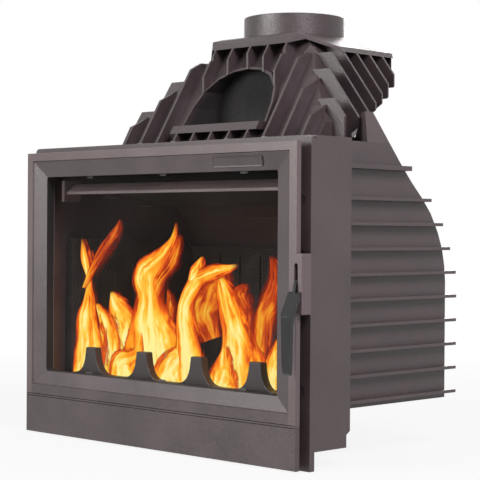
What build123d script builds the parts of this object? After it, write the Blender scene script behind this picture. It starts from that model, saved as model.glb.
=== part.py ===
from build123d import *
import math
import os

os.makedirs("parts", exist_ok=True)

# Millimetres. X to the right seen from the front, Y to the back, Z up from the floor.
# Depths are measured from the door's front face and moved by ORIGIN_Y at the end.
FRAME_W = 715.0
FRAME_H = 544.0
FRAME_Y = 26.0
FRAME_T = 11.5
RETURN_T = 6.0
RETURN_BACK = 126.0
RETURN_BOTTOM = 31.0
GAP = 0.3

DOOR_W = FRAME_W - 15.0
DOOR_X = DOOR_W / 2
DOOR_BOTTOM = 2.5
DOOR_TOP = FRAME_H - 10.0
DOOR_T = 12.7
FRAME_BACK = FRAME_Y + FRAME_T

BODY_X = FRAME_W / 2 - 34.0
BODY_BOTTOM = 89.0
BODY_SPLIT = FRAME_H - 34.0
BODY_BACK = 430.0
WALL = 8.0
PANEL_X = BODY_X - WALL
FIN_OUT = 16.5
FIN_T = 5.5
FIN_COUNT = 9
FIN_LOW = BODY_BOTTOM + 12.0
FIN_PITCH = (BODY_SPLIT - FIN_LOW - 65.5) / (FIN_COUNT - 1)
FIN_TOP = BODY_SPLIT - 11.0

FLUE_R = 97.5
FLUE_WALL = 6.0
FLUE_BORE = FLUE_R - FLUE_WALL
FLUE_Y = BODY_BACK - 55.0
CREASE_Z = BODY_SPLIT + 32.0
HOOD_RISE = 215.0
FLUE_BASE = CREASE_Z + HOOD_RISE
FLUE_TOP = FLUE_BASE + 41.0

HOOD_BACK = FLUE_Y + 105.0
ORIGIN_Y = BODY_BACK / 2 + 1.5

GLASS_X = DOOR_X - 50.0
GLASS_LOW = 120.0
GLASS_HIGH = DOOR_TOP - 46.0

PARTS = {}


def keep(name, shape):
    solids = [Pos(0, -ORIGIN_Y, 0) * s for s in shape.solids() if s.volume > 0.5]
    if len(solids) == 1:
        PARTS[name] = solids[0]
    else:
        PARTS[name] = Compound(children=solids)


def block(x0, x1, y0, y1, z0, z1):
    x0, x1 = sorted((x0, x1))
    return Pos((x0 + x1) / 2, (y0 + y1) / 2, (z0 + z1) / 2) * Box(x1 - x0, y1 - y0, z1 - z0)


def rod_x(x0, x1, y, z, r):
    return Pos((x0 + x1) / 2, y, z) * Rot(0, 90, 0) * Cylinder(r, x1 - x0)


def rod_y(x, y0, y1, z, r):
    return Pos(x, (y0 + y1) / 2, z) * Rot(90, 0, 0) * Cylinder(r, y1 - y0)


def rod_z(x, y, z0, z1, r):
    return Pos(x, y, (z0 + z1) / 2) * Cylinder(r, z1 - z0)


def side_plate(points, x0, x1):
    """A plate cut to (y, z) points, from x0 to x1."""
    x0, x1 = sorted((x0, x1))
    wire = Polyline(*[(x0, y, z) for y, z in points], close=True)
    return extrude(make_face(wire), amount=x1 - x0, dir=(1, 0, 0))


def front_plate(points, y0, y1):
    """A plate cut to (x, z) points, from y0 to y1."""
    wire = Polyline(*[(x, y0, z) for x, z in points], close=True)
    return extrude(make_face(wire), amount=y1 - y0, dir=(0, 1, 0))


def flat_plate(points, z0, z1):
    """A plate cut to (x, y) points, from z0 to z1."""
    wire = Polyline(*[(x, y, z0) for x, y in points], close=True)
    return extrude(make_face(wire), amount=z1 - z0, dir=(0, 0, 1))


def mirrored(points):
    """Points from the left edge to the middle, carried on to the right edge."""
    return points + [(-x, z) for x, z in points[::-1] if x != 0]


def cut_by(solid, point, normal):
    """Keep what lies behind the plane, against its normal."""
    return split(solid, bisect_by=Plane(origin=point, z_dir=normal), keep=Keep.BOTTOM)


def slope(deg):
    return math.sin(math.radians(deg)), math.cos(math.radians(deg))


def hexagon(across, u, v):
    r = across / math.sqrt(3)
    return [(u + r * math.cos(math.radians(a)), v + r * math.sin(math.radians(a))) for a in range(0, 360, 60)]


# Front frame: flange with the fire opening, side returns and the slot for the latch nose
LATCH_X = DOOR_X - 1.0
PIVOT_Y = 10.0
PIVOT_Z = 300.0
RIM_OUT = 14.0
RIM_X = GLASS_X + RIM_OUT
RIM_GAP = 4.5
APERTURE_X = RIM_X + RIM_GAP
APERTURE_LOW = GLASS_LOW - RIM_OUT - RIM_GAP
APERTURE_HIGH = GLASS_HIGH + RIM_OUT + RIM_GAP
KEEPER_Z = PIVOT_Z + 3.0
BOLT_R = 4.0
BOLT_X = BODY_X + 14.0
BOLT_Z = [GLASS_LOW + 10.0, PIVOT_Z + 50.0, PIVOT_Z + 140.0]
FRAME_BOLTS = [(sx * BOLT_X, z) for sx in (-1, 1) for z in BOLT_Z]
ASH_X = 112.0
EAR_T = 14.0

frame = block(-FRAME_W / 2, FRAME_W / 2, FRAME_Y, FRAME_BACK, 0, FRAME_H)
frame = fillet([e for e in frame.edges().filter_by(Axis.Y) if e.center().Z > FRAME_H - 1], 10.0)
return_pts = [
    (FRAME_BACK, RETURN_BOTTOM),
    (RETURN_BACK - 9, RETURN_BOTTOM),
    (RETURN_BACK - 9, RETURN_BOTTOM + 21.0),
    (RETURN_BACK, RETURN_BOTTOM + 27.0),
    (RETURN_BACK, FRAME_H),
    (FRAME_BACK, FRAME_H),
]
for sx in (-1, 1):
    frame += side_plate(return_pts, sx * FRAME_W / 2, sx * (FRAME_W / 2 - RETURN_T))
frame -= block(-APERTURE_X, APERTURE_X, FRAME_Y - 1, FRAME_BACK + 1, APERTURE_LOW, APERTURE_HIGH)
frame -= block(-ASH_X + 8, ASH_X - 8, FRAME_Y - 1, FRAME_BACK + 1, 10.0, BODY_BOTTOM - 9)
frame -= block(LATCH_X - 5.5, LATCH_X + 5.5, FRAME_Y - 1, FRAME_BACK + 1, PIVOT_Z - 38, KEEPER_Z + 9)
for x, z in FRAME_BOLTS:
    frame -= rod_y(x, FRAME_Y - 1, FRAME_BACK + 1, z, BOLT_R + GAP)
    frame -= rod_y(x, FRAME_Y - 1, FRAME_Y + 5.5, z, BOLT_R + 3.6)
keep("front_frame", frame)
keep("latch_keeper", block(LATCH_X - 5.5, LATCH_X + 5.5, FRAME_Y, FRAME_Y + 5, KEEPER_Z, KEEPER_Z + 9))

# Hinge lugs on the frame
HINGE_X = -(DOOR_X - 3.5)
HINGE_Y = (DOOR_T + FRAME_Y) / 2
HINGE_R = 6.0
PIN_R = 4.0
LUG_H = 16.0
HINGE_Z = [DOOR_TOP - 64.0, 56.0]
lugs = Part()
for z in HINGE_Z:
    lug = rod_z(HINGE_X, HINGE_Y, z, z + LUG_H, HINGE_R)
    lug += block(HINGE_X - HINGE_R, HINGE_X + HINGE_R, HINGE_Y, FRAME_Y, z, z + LUG_H)
    lug -= rod_z(HINGE_X, HINGE_Y, z - 1, z + LUG_H + 1, PIN_R + 0.1)
    lugs += lug
keep("hinge_lugs", lugs)

# Body: two side panels and a curved back, all with cooling fins
BODY_H = BODY_SPLIT - BODY_BOTTOM
REAR_PROFILE = [
    (BODY_BACK, BODY_BOTTOM),
    (BODY_BACK, BODY_BOTTOM + 0.501 * BODY_H),
    (BODY_BACK - 3.0, BODY_BOTTOM + 0.568 * BODY_H),
    (BODY_BACK - 10.0, BODY_BOTTOM + 0.639 * BODY_H),
    (BODY_BACK - 23.0, BODY_BOTTOM + 0.710 * BODY_H),
    (BODY_BACK - 44.0, BODY_BOTTOM + 0.789 * BODY_H),
    (BODY_BACK - 70.0, BODY_BOTTOM + 0.855 * BODY_H),
    (BODY_BACK - 99.0, BODY_BOTTOM + 0.917 * BODY_H),
    (BODY_BACK - 133.0, BODY_SPLIT),
]
SPLIT_Y = BODY_BACK - 133.0
FIN_START = FRAME_BACK + 22.0
FIN_Z = [FIN_LOW + FIN_PITCH * k for k in range(FIN_COUNT)] + [FIN_TOP]
CURVE_Z = BODY_BOTTOM + 0.57 * BODY_H
BAFFLE_Y0 = 120.0
BAFFLE_Y1 = 300.0
BAFFLE_Z = APERTURE_HIGH - 38.0
BAFFLE_FALL = 30.0


def rear_y(z):
    for (ya, za), (yb, zb) in zip(REAR_PROFILE, REAR_PROFILE[1:]):
        if za <= z <= zb:
            return ya + (yb - ya) * (z - za) / (zb - za)
    return REAR_PROFILE[-1][0]


def fin_size(z):
    thick = FIN_T + 2.5 if z == FIN_TOP else FIN_T
    reach = FIN_OUT if z < CURVE_Z + 5 else 7.5
    return thick, rear_y(z) + reach


def baffle_under(y):
    return BAFFLE_Z - BAFFLE_FALL * (y - BAFFLE_Y0) / (BAFFLE_Y1 - BAFFLE_Y0)


side_pts = [(FRAME_BACK, BODY_BOTTOM)] + REAR_PROFILE + [(FRAME_BACK, BODY_SPLIT)]
for name, sx in (("side_panel_left", -1), ("side_panel_right", 1)):
    panel = side_plate(side_pts, sx * PANEL_X, sx * BODY_X)
    f_in = sx * PANEL_X
    f_out = sx * (BODY_X + FIN_OUT)
    for z in FIN_Z:
        t, tail = fin_size(z)
        wall_y = rear_y(z) - 4
        outline = [
            (sx * (BODY_X - 3), FIN_START),
            (f_out, FIN_START + 12),
            (f_out, tail - 5),
            (f_out - sx * 5, tail),
            (f_in, tail),
            (f_in, wall_y),
            (sx * (BODY_X - 3), wall_y),
        ]
        panel += flat_plate(outline, z - t / 2, z + t / 2)
    for z in BOLT_Z:
        ear = block(sx * (BODY_X - 1), sx * (BOLT_X + 11), FRAME_BACK, FRAME_BACK + EAR_T, z - 9, z + 9)
        ear -= rod_y(sx * BOLT_X, FRAME_BACK - 1, FRAME_BACK + EAR_T + 1, z, BOLT_R + GAP)
        panel += ear
    for y in (BAFFLE_Y0 + 30.0, BAFFLE_Y1 - 60.0):
        low = baffle_under(y) - 12
        pts = [(y, low), (y + 24, low), (y + 24, baffle_under(y + 24)), (y, baffle_under(y))]
        panel += side_plate(pts, sx * (PANEL_X - 40), sx * PANEL_X)
    keep(name, panel)

bolts = Part()
nuts = Part()
for x, z in FRAME_BOLTS:
    seat = FRAME_BACK + EAR_T
    bolts += rod_y(x, FRAME_Y + 5.5, seat + 9, z, BOLT_R)
    bolts += rod_y(x, FRAME_Y + 0.7, FRAME_Y + 5.5, z, BOLT_R + 2.5)
    nuts += front_plate(hexagon(13.0, x, z), seat, seat + 6.5) - rod_y(x, seat - 1, seat + 8, z, BOLT_R + GAP)
keep("frame_bolts", bolts)
keep("frame_nuts", nuts)

inner = []
last = len(REAR_PROFILE) - 1
for i, (y, z) in enumerate(REAR_PROFILE):
    a = REAR_PROFILE[max(i - 1, 0)]
    b = REAR_PROFILE[min(i + 1, last)]
    n = math.hypot(b[0] - a[0], b[1] - a[1])
    z_in = z + (b[0] - a[0]) / n * WALL if 0 < i < last else z
    inner.append((y - (b[1] - a[1]) / n * WALL, z_in))
back = side_plate(REAR_PROFILE + inner[::-1], -PANEL_X, PANEL_X)
for z in FIN_Z:
    t, tip = fin_size(z)
    pts = [(rear_y(z - t / 2) - 2, z - t / 2), (tip, z - t / 2), (tip, z + t / 2), (rear_y(z + t / 2) - 2, z + t / 2)]
    back += side_plate(pts, -PANEL_X, PANEL_X)
keep("back_panel", back)

# Base plate with the ash opening, the ash box and its pan under it, the grate over it
BASE_TOP = BODY_BOTTOM + WALL
GRATE_X = ASH_X + 6.0
GRATE_Y0 = 92.0
GRATE_Y1 = 300.0
base = block(-PANEL_X, PANEL_X, FRAME_BACK, BODY_BACK - WALL, BODY_BOTTOM, BASE_TOP)
base -= block(-GRATE_X + 18, GRATE_X - 18, GRATE_Y0 + 12, GRATE_Y1 - 12, BODY_BOTTOM - 1, BASE_TOP + 1)
keep("base_plate", base)

BOX_BACK = GRATE_Y1 + 2.0
BOX_WALL = 4.0
box = block(-ASH_X, ASH_X, FRAME_BACK, BOX_BACK, 0.0, BODY_BOTTOM)
box -= block(-ASH_X + BOX_WALL, ASH_X - BOX_WALL, FRAME_BACK - 1, BOX_BACK - BOX_WALL, BOX_WALL, BODY_BOTTOM + 1)
for sx in (-1, 1):
    box += block(sx * ASH_X, sx * (ASH_X + 16), FRAME_BACK, BOX_BACK, BODY_BOTTOM - 5, BODY_BOTTOM)
keep("ash_box", box)

PAN_X = ASH_X - 15.0
PAN_Y0 = FRAME_BACK + 6.5
PAN_Y1 = BOX_BACK - 12.0
PAN_TOP = BODY_BOTTOM - 21.0
pan = block(-PAN_X, PAN_X, PAN_Y0, PAN_Y1, BOX_WALL + 2, PAN_TOP)
pan -= block(-PAN_X + 2, PAN_X - 2, PAN_Y0 + 2, PAN_Y1 - 2, BOX_WALL + 4, PAN_TOP + 1)
for sx in (-1, 1):
    pan += block(sx * (PAN_X - 2), sx * (PAN_X + 4), PAN_Y0, PAN_Y1, PAN_TOP - 2, PAN_TOP)
    pan += block(sx * (PAN_X - 7), sx * (PAN_X - 13), PAN_Y0, PAN_Y1, BOX_WALL, BOX_WALL + 2)
    pan += block(sx * 26.0, sx * 30.0, PAN_Y0 - 9.5, PAN_Y0, 37.0, 51.0)
pan += block(-30.0, 30.0, PAN_Y0 - 9.5, PAN_Y0 - 5.5, 37.0, 51.0)
keep("ash_pan", pan)

GRATE_T = 10.0
GRATE_BARS = 9
bar_pitch = (2 * GRATE_X - 48.0) / GRATE_BARS
grate = block(-GRATE_X, GRATE_X, GRATE_Y0, GRATE_Y1, BASE_TOP, BASE_TOP + GRATE_T)
for i in range(GRATE_BARS):
    x = bar_pitch * (i - (GRATE_BARS - 1) / 2)
    middle = (GRATE_Y0 + GRATE_Y1) / 2
    for y0, y1 in ((GRATE_Y0 + 16, middle - 6), (middle + 6, GRATE_Y1 - 16)):
        grate -= block(x - 5, x + 5, y0, y1, BASE_TOP - 1, BASE_TOP + GRATE_T + 1)
keep("fire_grate", grate)

# Hearth plate round the grate, ribbed liners on the back and sides
LINER_T = 14.0
RIB = 4.0
LINER_X = PANEL_X - 6.0
LINER_BACK = BODY_BACK - 26.0
HEARTH_TOP = BASE_TOP + 9.5
LINER_TOP = BODY_BOTTOM + 0.672 * BODY_H
hearth = block(-LINER_X, LINER_X, 62.0, LINER_BACK, BASE_TOP, HEARTH_TOP)
hearth -= block(-GRATE_X - 1, GRATE_X + 1, GRATE_Y0 - 1, GRATE_Y1 + 1, BASE_TOP - 1, HEARTH_TOP + 1)
keep("hearth_plate", hearth)
face = LINER_BACK - LINER_T
back_liner = block(-LINER_X, LINER_X, face, LINER_BACK, HEARTH_TOP, LINER_TOP - 16)
for i in range(9):
    x = LINER_X * (i - 4) / 5.5
    back_liner += block(x - 12, x + 12, face - RIB, face, HEARTH_TOP + 24, LINER_TOP - 32)
keep("liner_back", back_liner)
for name, sx in (("liner_left", -1), ("liner_right", 1)):
    side = block(sx * LINER_X, sx * (LINER_X - LINER_T), 66.0, face, HEARTH_TOP, LINER_TOP)
    side = cut_by(side, (0, face - 18, LINER_TOP - 8), (0, 0.75, 0.66))
    for i in range(6):
        y = 92.0 + (face - 114.0) / 6 * i
        side += block(sx * (LINER_X - LINER_T), sx * (LINER_X - LINER_T - RIB), y - 10, y + 10, HEARTH_TOP + 24,
                      LINER_TOP - 52)
    keep(name, side)

# Log retainer with four flared prongs behind the glass
RET_Y0 = 46.0
RET_Y1 = 56.0
RAIL_TOP = GLASS_LOW + 16.0
PRONG_TOP = RAIL_TOP + 52.0
RET_X = GLASS_X - 28.0
PRONG_X = [GLASS_X * f for f in (-0.65, -0.217)]
half = [(-RET_X, BASE_TOP), (-RET_X, RAIL_TOP)]
for x in PRONG_X:
    half += [(x - 36, RAIL_TOP), (x - 24, RAIL_TOP + 4), (x - 16, RAIL_TOP + 14), (x - 12, RAIL_TOP + 30)]
    half += [(x - 10, PRONG_TOP), (x + 10, PRONG_TOP), (x + 12, RAIL_TOP + 30), (x + 16, RAIL_TOP + 14)]
    half += [(x + 24, RAIL_TOP + 4), (x + 36, RAIL_TOP)]
retainer = front_plate(mirrored(half), RET_Y0, RET_Y1)
for sx in (-1, 1):
    retainer += block(sx * (RET_X - 20), sx * (RET_X - 44), RET_Y1, 61.7, BASE_TOP, BASE_TOP + 16)
keep("log_retainer", retainer)

# Air-wash bar behind the top of the glass, on two brackets
BAR_X = PANEL_X - 21.5
BAR_Y = 45.0
BAR_Z = GLASS_HIGH - 32.0
bar_pts = [(0, 0), (4, 0), (27, 14), (27, 20), (22, 20), (0, 5)]
bar = side_plate([(BAR_Y + y, BAR_Z + z) for y, z in bar_pts], -BAR_X + 8, BAR_X - 8)
for sx in (-1, 1):
    bar += block(sx * (BAR_X - 8), sx * BAR_X, BAR_Y - 6, BAR_Y + 34, BAR_Z - 14, BAR_Z + 26)
keep("air_wash_bar", bar)
brackets = Part()
for sx in (-1, 1):
    brackets += block(sx * BAR_X, sx * PANEL_X, BAR_Y + 14, BAR_Y + 28, BAR_Z - 2, BAR_Z + 8)
keep("bar_brackets", brackets)

# Baffle plate over the fire, on the side panels' ledges
BAFFLE_X = PANEL_X - 25.0
BAFFLE_T = 10.0
pts = [
    (BAFFLE_Y0, BAFFLE_Z + BAFFLE_T),
    (BAFFLE_Y0, BAFFLE_Z),
    (BAFFLE_Y1, BAFFLE_Z - BAFFLE_FALL),
    (BAFFLE_Y1 + 22, BAFFLE_Z - BAFFLE_FALL + 8),
    (BAFFLE_Y1 + 22, BAFFLE_Z - BAFFLE_FALL + 8 + BAFFLE_T),
    (BAFFLE_Y1, BAFFLE_Z - BAFFLE_FALL + BAFFLE_T),
]
baffle = side_plate(pts, -BAFFLE_X, BAFFLE_X)
for i in range(5):
    x = BAFFLE_X * 0.7 * (i - 2) / 2
    ya, yb = BAFFLE_Y0 + 15, BAFFLE_Y1 - 10
    za, zb = baffle_under(ya) + BAFFLE_T - 0.5, baffle_under(yb) + BAFFLE_T - 0.5
    baffle += side_plate([(ya, za), (yb, zb), (yb, zb + 6), (ya, za + 6)], x - 4, x + 4)
keep("baffle_plate", baffle)

# Upper body: walls and deck that close the firebox, the throat, and the raised rear edge
CREASE_Y = SPLIT_Y - 29.0
RIDGE_TOP = CREASE_Z + 54.0
THROAT_X = 180.0
THROAT_Y0 = 180.0
THROAT_Y1 = 244.0
upper = side_plate([(FRAME_BACK, BODY_SPLIT), (SPLIT_Y, BODY_SPLIT), (CREASE_Y, CREASE_Z), (FRAME_BACK, CREASE_Z)],
                   -BODY_X, BODY_X)
hollow = [
    (FRAME_BACK + WALL, BODY_SPLIT - 1),
    (SPLIT_Y - 10, BODY_SPLIT - 1),
    (CREASE_Y - 5, CREASE_Z - WALL),
    (FRAME_BACK + WALL, CREASE_Z - WALL),
]
upper -= side_plate(hollow, -PANEL_X, PANEL_X)
ridge_in = [(BODY_X, CREASE_Y - 61), (275.0, CREASE_Y - 21), (250.0, CREASE_Y - 6)]
ridge_pts = [(-x, y) for x, y in ridge_in] + ridge_in[::-1] + [(BODY_X, CREASE_Y), (-BODY_X, CREASE_Y)]
ridge = flat_plate(ridge_pts, CREASE_Z - 4, RIDGE_TOP)
n, c = slope(66)
ridge = cut_by(ridge, (0, CREASE_Y, CREASE_Z), (0, n, c))
n, c = slope(71)
for sx in (-1, 1):
    ridge = cut_by(ridge, (sx * BODY_X, 0, CREASE_Z), (sx * n, 0, c))
upper += ridge
upper -= block(-THROAT_X, THROAT_X, THROAT_Y0, THROAT_Y1, CREASE_Z - 20, CREASE_Z + 1)
RIB_STEP = (2 * BODY_X - 184.0) / 10
HOOD_BOLTS = [(RIB_STEP * k, 122.0) for k in (-3.5, -1.5, 1.5, 3.5)]
for x, y in HOOD_BOLTS:
    upper -= rod_z(x, y, CREASE_Z - 20, CREASE_Z + 1, 3.0 + GAP)
keep("upper_body", upper)

# Hood: a hipped casting that leans back, ribbed on its front and both sides.
# Its planes are set by the tips of the ribs; the wall behind them lies RIB_DEEP further in.
HOOD_X = 5 * RIB_STEP + 43.5
HOOD_LEAN = 58.5
HOOD_SIDE = 52.0
HOOD_FRONT = 140.0
EAVE = CREASE_Z + 10.0
SIDE_EAVE = CREASE_Z + 46.0
RIB_DEEP = 25.0
SIDE_DEEP = 28.0
HOOD_WALL = 8.0
ROOF = 6.0
ROOF_EDGE = 15.0
SIDE_Y = 206.0
SIDE_STEP = 37.5
TAPER_Y = 262.0
CAP_FALL = 17.0
CAP_SIDE = 24.0
CAP_HALF_X = FLUE_R + 2.5
CAP_HALF_Y = FLUE_R + 1.5


def hood_solid(front_in, side_in, top_drop, rear_in):
    """The hood's outline, drawn in on the ribbed faces, the roof and the rear."""
    s = block(-HOOD_X + side_in, HOOD_X - side_in, HOOD_FRONT - 20, HOOD_BACK - rear_in, CREASE_Z,
              FLUE_BASE - top_drop)
    n, c = slope(HOOD_LEAN)
    s = cut_by(s, (0, HOOD_FRONT + front_in * n, EAVE - front_in * c), (0, -n, c))
    n, c = slope(HOOD_SIDE)
    for sx in (-1, 1):
        s = cut_by(s, (sx * (HOOD_X - side_in * n), 0, SIDE_EAVE - side_in * c), (sx * n, 0, c))
        s = cut_by(s, (sx * (HOOD_X - side_in * 0.918), TAPER_Y - side_in * 0.397, 0), (sx * 0.918, 0.397, 0))
        s = cut_by(s, (sx * 203.0, 437.0 - rear_in, 0), (sx * 0.647, 0.762, 0))
    n, c = slope(CAP_SIDE)
    for sx in (-1, 1):
        s = cut_by(s, (sx * CAP_HALF_X, 0, FLUE_BASE - top_drop / c), (sx * n, 0, c))
    n, c = slope(CAP_FALL)
    for sy in (-1, 1):
        s = cut_by(s, (0, FLUE_Y + sy * CAP_HALF_Y, FLUE_BASE - top_drop / c), (0, sy * n, c))
    return cut_by(s, (0, 300.0, CREASE_Z + 33.0 + rear_in * 1.2), (0, 0.543, -0.84))


outer = hood_solid(0.0, 0.0, 0.0, 0.0)
core = hood_solid(RIB_DEEP, SIDE_DEEP, 0.0, 0.0)
cavity = hood_solid(RIB_DEEP + HOOD_WALL, SIDE_DEEP + HOOD_WALL, HOOD_WALL, HOOD_WALL)
roof = outer - hood_solid(0.0, 0.0, ROOF, 0.0)
n, c = slope(CAP_FALL)
roof += cut_by(outer, (0, FLUE_Y - CAP_HALF_Y, FLUE_BASE - ROOF_EDGE), (0, n, -c))

# Ribs on the front: the outer three a side are cut short in steps, the middle five stop over the mouth
n, c = slope(HOOD_LEAN)
sunk_in = RIB_DEEP + 1.0
front_space = cut_by(outer, (0, HOOD_FRONT + sunk_in * n, EAVE - sunk_in * c), (0, n, -c))
RIB_TOP = {5: EAVE + 38.0, 4: EAVE + 88.0, 3: EAVE + 148.0}
UPPER_RIB = {0: 244.0, 1: 238.0, 2: 219.0}
front_ribs = Part()
for k in range(-5, 6):
    x = RIB_STEP * k
    step = abs(k)
    t = 6.0 if step > 2 else 4.5
    plate = block(x - t / 2, x + t / 2, HOOD_FRONT - 20, 330.0, CREASE_Z, FLUE_BASE)
    if step in RIB_TOP:
        tip_y = HOOD_FRONT + (RIB_TOP[step] - EAVE) * c / n
        front_ribs += cut_by(plate, (0, tip_y, RIB_TOP[step]), (0, -0.447, 0.894)) & front_space
    else:
        front_ribs += cut_by(plate, (0, 0, EAVE + 20.0), (0, 0, 1)) & front_space
        front_ribs += block(x - t / 2, x + t / 2, UPPER_RIB[step], 330.0, EAVE + 100.0, FLUE_BASE) & front_space
sill = block(-112.0, 112.0, HOOD_FRONT, 240.0, EAVE + 18.0, EAVE + 33.0) & front_space

# Ribs on both sides, and the plate that closes the hood's rear
side_space = outer - hood_solid(0.0, SIDE_DEEP + 1.0, -20.0, -20.0)
SIDE_TOP = [CREASE_Z + 79.0, CREASE_Z + 137.0, CREASE_Z + 184.0]
side_ribs = Part()
for k in range(7):
    y = SIDE_Y + SIDE_STEP * k
    top = SIDE_TOP[k] if k < len(SIDE_TOP) else FLUE_BASE
    plate = block(-HOOD_X, HOOD_X, y - 2.75, y + 2.75, CREASE_Z, top) & side_space
    if k > 0:
        for sx in (-1, 1):
            plate = cut_by(plate, (sx * 235.0, 285.0, CREASE_Z + 33.0), (sx * 0.45, 0.49, -0.746))
    side_ribs += plate
side_ribs += block(-HOOD_X, HOOD_X, HOOD_BACK - 8, HOOD_BACK, CREASE_Z, FLUE_BASE) & outer

mouth = mirrored([(-106.0, EAVE + 34.0), (-101.0, EAVE + 70.0), (-90.0, EAVE + 100.0), (-66.0, EAVE + 123.0),
                  (-35.0, EAVE + 136.0), (0.0, EAVE + 140.0)])
duct_out = mirrored([(-110.5, EAVE + 28.0), (-105.5, EAVE + 71.0), (-94.0, EAVE + 103.0), (-68.5, EAVE + 127.5),
                     (-36.5, EAVE + 140.5), (0.0, EAVE + 145.0)])
DUCT_BACK = 276.0
duct = front_plate(duct_out, 150.0, DUCT_BACK) & hood_solid(RIB_DEEP - 8.5, SIDE_DEEP, 0.0, 0.0)
feet = Part()
for x, y in HOOD_BOLTS:
    feet += block(x - 13, x + 13, y - 12, HOOD_FRONT + 40, CREASE_Z, CREASE_Z + 7) - cavity
hood = (core - cavity) + duct + front_ribs + sill + side_ribs + roof + feet
hood -= front_plate(mouth, 100.0, DUCT_BACK - 6.0)
hood -= rod_z(0, FLUE_Y, FLUE_BASE - 60, FLUE_BASE + 1, FLUE_BORE + 0.5)
hood -= block(-THROAT_X, THROAT_X, THROAT_Y0, THROAT_Y1, CREASE_Z - 1, CREASE_Z + 10)
hood -= ridge
for x, y in HOOD_BOLTS:
    hood -= rod_z(x, y, CREASE_Z - 1, CREASE_Z + 8, 3.0 + GAP)
keep("hood", hood)

hood_bolts = Part()
for x, y in HOOD_BOLTS:
    top = CREASE_Z + 7.0
    hood_bolts += rod_z(x, y, CREASE_Z - WALL - 6, top, 3.0) + flat_plate(hexagon(10.0, x, y), top, top + 4)
keep("hood_bolts", hood_bolts)

# Flue collar with a register ring in the hood's hole
collar = rod_z(0, FLUE_Y, FLUE_BASE, FLUE_TOP, FLUE_R) + rod_z(0, FLUE_Y, FLUE_BASE - 7, FLUE_BASE, FLUE_BORE)
collar -= rod_z(0, FLUE_Y, FLUE_BASE + 4, FLUE_TOP + 1, FLUE_BORE)
collar -= rod_z(0, FLUE_Y, FLUE_BASE - 8, FLUE_BASE + 5, FLUE_BORE - 7.5)
collar = fillet([e for e in collar.edges() if e.center().Z > FLUE_TOP - 0.1], 1.2)
keep("flue_collar", collar)

# Door leaf: flat outer rim, sloped inner face, deep rim for the glass, hollowed latch boss
LEAF_BACK = 31.0
SEAT_Y = 25.0
GLASS_T = 4.0
BEV_X = DOOR_X - 16.5
BEV_LOW = GLASS_LOW - 26.5
BEV_HIGH = DOOR_TOP - 15.0
BEV_D = 9.0
PANE_LIP = 6.0
leaf = block(-DOOR_X, DOOR_X, 0, DOOR_T, DOOR_BOTTOM, DOOR_TOP)
leaf = chamfer(leaf.faces().sort_by(Axis.Y)[-1].edges(), 3.0)
leaf = fillet(leaf.faces().sort_by(Axis.Y)[0].edges(), 1.2)
leaf += block(-RIM_X, RIM_X, DOOR_T - 1, LEAF_BACK, GLASS_LOW - RIM_OUT, GLASS_HIGH + RIM_OUT)


def sunk(half_x, low, high, y):
    plane = Plane(origin=(0, y, (low + high) / 2), x_dir=(1, 0, 0), z_dir=(0, -1, 0))
    return (plane * Rectangle(2 * half_x, high - low)).face()


leaf -= loft([sunk(BEV_X, BEV_LOW, BEV_HIGH, -0.01), sunk(BEV_X - 1.5, BEV_LOW + 1.5, BEV_HIGH - 1.5, 2.5)])
leaf -= loft([sunk(BEV_X - 1.5, BEV_LOW + 1.5, BEV_HIGH - 1.5, 2.4), sunk(GLASS_X, GLASS_LOW, GLASS_HIGH, BEV_D)])
opening = block(-GLASS_X, GLASS_X, BEV_D - 0.5, LEAF_BACK + 1, GLASS_LOW, GLASS_HIGH)
leaf -= fillet(opening.edges().filter_by(Axis.Y), 6.0)
pane_x = GLASS_X + PANE_LIP
leaf -= block(-pane_x, pane_x, SEAT_Y, LEAF_BACK + 1, GLASS_LOW - PANE_LIP, GLASS_HIGH + PANE_LIP)
GROOVE_Z = 73.5
for z in (GROOVE_Z - 2.0, GROOVE_Z + 2.0):
    leaf -= side_plate([(-1, z - 1.2), (1.5, z), (-1, z + 1.2)], -DOOR_X - 1, DOOR_X + 1)
BOSS_X = DOOR_X + 12.0
BOSS_LOW = PIVOT_Z - 46.0
BOSS_HIGH = PIVOT_Z + 52.5
BOSS_BACK = 22.0
boss = block(DOOR_X - 14, BOSS_X, 0.0, BOSS_BACK, BOSS_LOW, BOSS_HIGH)
boss = fillet(boss.edges().filter_by(Axis.Y), 2.0)
boss = fillet(boss.faces().sort_by(Axis.Y)[0].edges(), 1.2)
leaf += boss
SLOT_X = LATCH_X - 4.0
slot = block(SLOT_X, SLOT_X + 8, -2.0, BOSS_BACK + 2, PIVOT_Z - 42, PIVOT_Z + 33)
slot += rod_y(LATCH_X, -2.0, BOSS_BACK + 2, PIVOT_Z + 33, 4.0)
leaf -= slot
leaf -= rod_x(LATCH_X - 12, BOSS_X - 1, PIVOT_Y, PIVOT_Z, 3.0)
for z in HINGE_Z:
    z0 = z + LUG_H + 0.6
    knuckle = rod_z(HINGE_X, HINGE_Y, z0, z0 + LUG_H, HINGE_R)
    knuckle += block(HINGE_X - 0.5, HINGE_X + HINGE_R, DOOR_T - 1, HINGE_Y, z0, z0 + LUG_H)
    knuckle -= rod_z(HINGE_X, HINGE_Y, z0 - 1, z0 + LUG_H + 1, PIN_R)
    leaf += knuckle
clip_x = pane_x + 4.0
CLIPS = [(x, z) for z in (GLASS_LOW - 10.0, GLASS_HIGH + 10.0) for x in (-GLASS_X * 0.67, 0.0, GLASS_X * 0.67)]
for x, z in CLIPS:
    leaf -= rod_y(x, LEAF_BACK - 12, LEAF_BACK + 1, z, 2.2)
keep("door_frame", leaf)

pins = Part()
for z in HINGE_Z:
    pins += rod_z(HINGE_X, HINGE_Y, z - 3, z + 2 * LUG_H + 3, PIN_R)
keep("hinge_pins", pins)

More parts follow.
